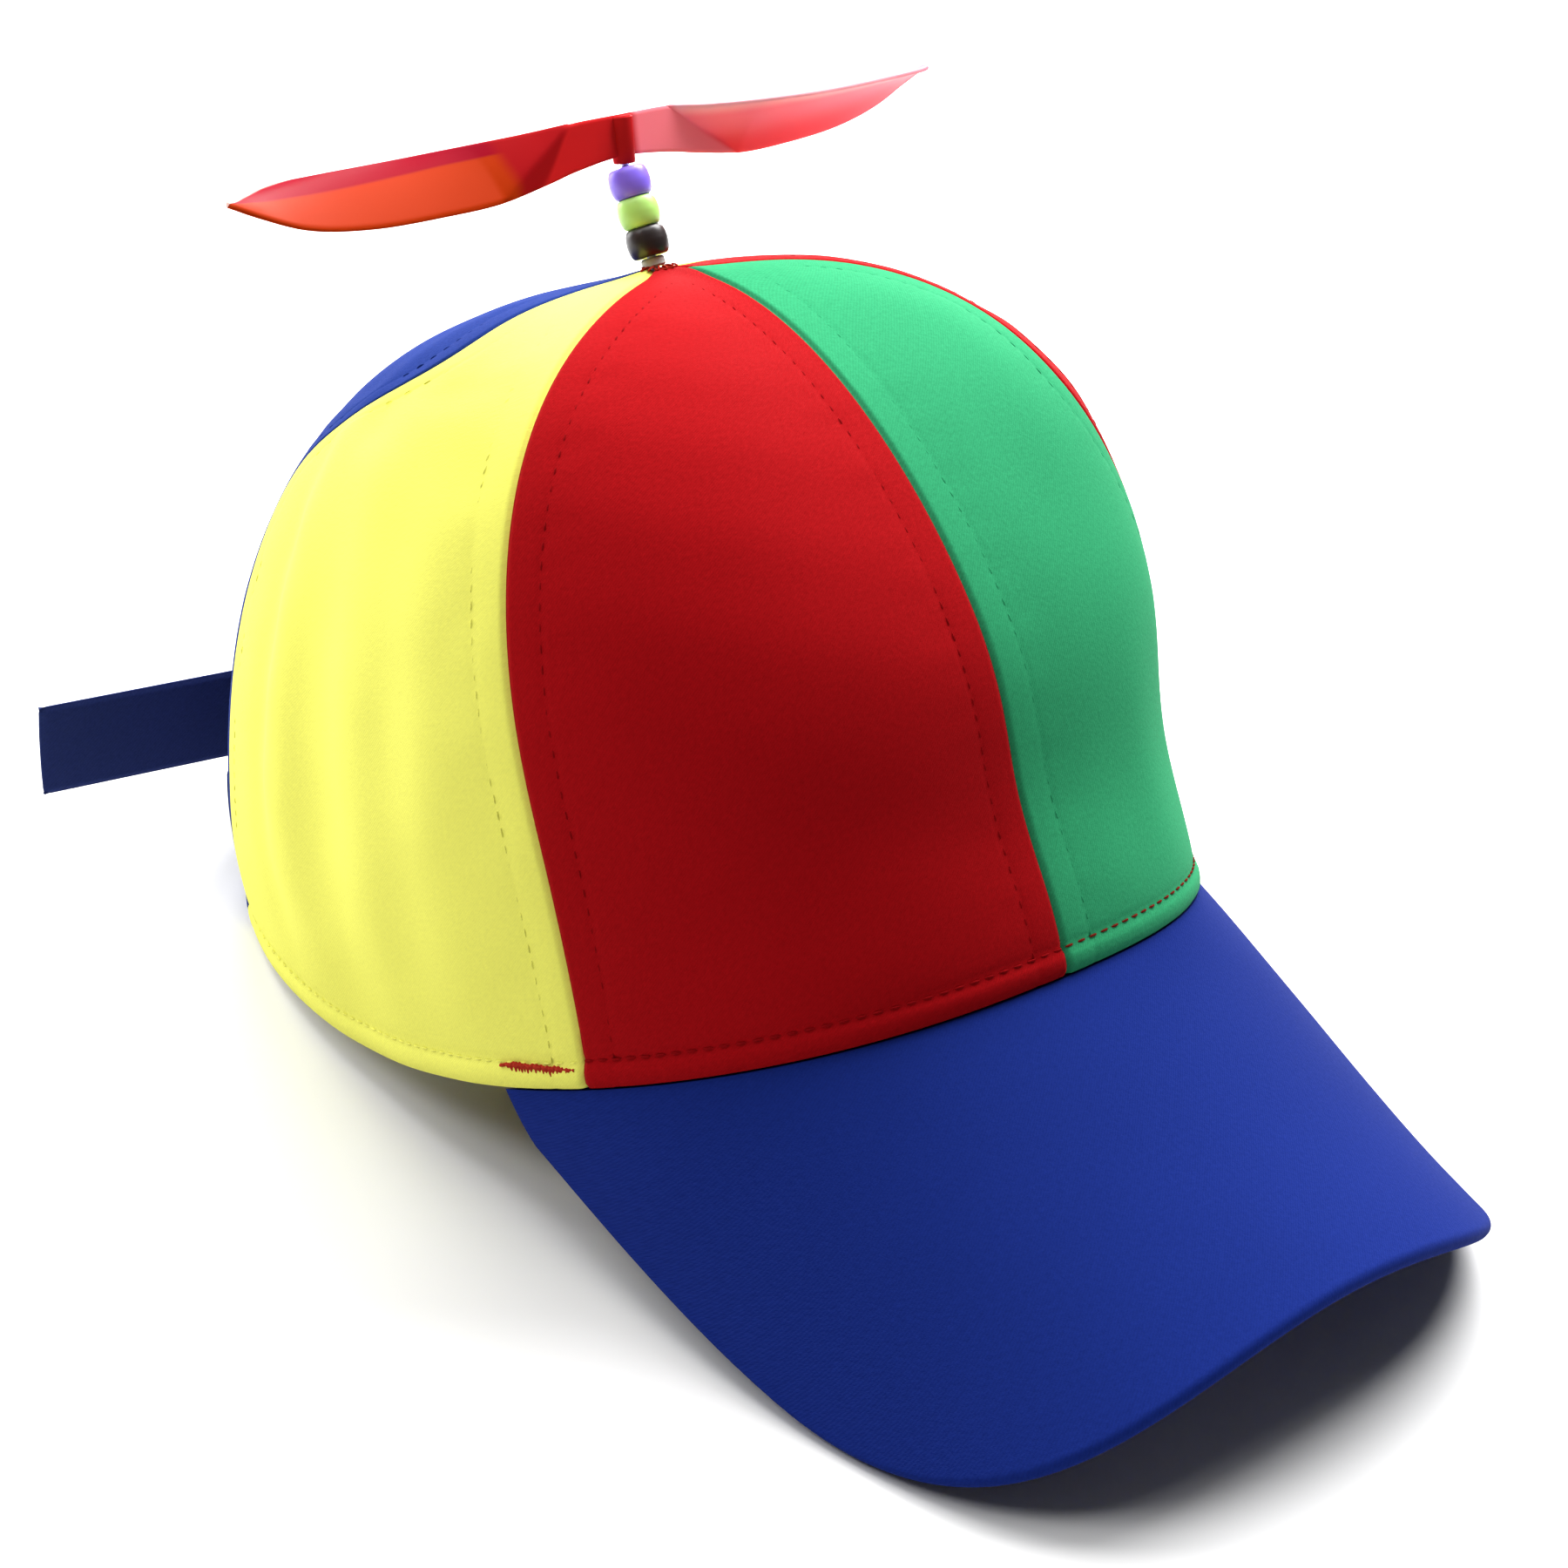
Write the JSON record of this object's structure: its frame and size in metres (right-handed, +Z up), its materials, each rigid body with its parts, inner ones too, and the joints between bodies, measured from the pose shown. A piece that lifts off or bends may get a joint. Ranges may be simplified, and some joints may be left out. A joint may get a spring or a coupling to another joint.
{
  "type": "propeller cap",
  "caption": "Panelled cotton cap with an arched peak, an unfastened rear strap, and a toy propeller that spins on a beaded rod at the crown.",
  "frame": {"origin": "centre of the bounding box's footprint, at the level that the cap rests on", "axes": "+Z up, -Y the way the wearer looks, -X the wearer's right"},
  "size_m": [0.1706, 0.2668, 0.1576],
  "materials": {
    "cotton_red": "fine cotton twill",
    "cotton_yellow": "fine cotton twill",
    "cotton_blue": "fine cotton twill",
    "cotton_green": "fine cotton twill",
    "cotton_peak": "cotton twill over a stiffener",
    "strap_navy": "hook and loop tape",
    "rod_steel": "drawn wire",
    "bead_black": "glossy",
    "bead_green": "glossy",
    "bead_purple": "glossy",
    "propeller_red": "glossy, slightly see-through"
  },
  "bodies": {
    "cap": {"front_right_panel": "cotton_red", "right_side_panel": "cotton_yellow", "back_right_panel": "cotton_blue", "back_left_panel": "cotton_yellow", "left_side_panel": "cotton_red", "front_left_panel": "cotton_green", "peak": "cotton_peak", "closure_tab": "strap_navy", "closure_strap": "strap_navy", "rod": "rod_steel", "bead_black": "bead_black", "bead_green": "bead_green", "bead_purple": "bead_purple"},
    "propeller": {"propeller": "propeller_red"}
  },
  "joints": [
    {"name": "propeller_spin", "type": "hinge", "parent": "cap", "child": "propeller", "pos_m": [0, 0.05303, 0.14609], "axis": [0, 0.2449, 0.9696], "continuous": true}
  ]
}
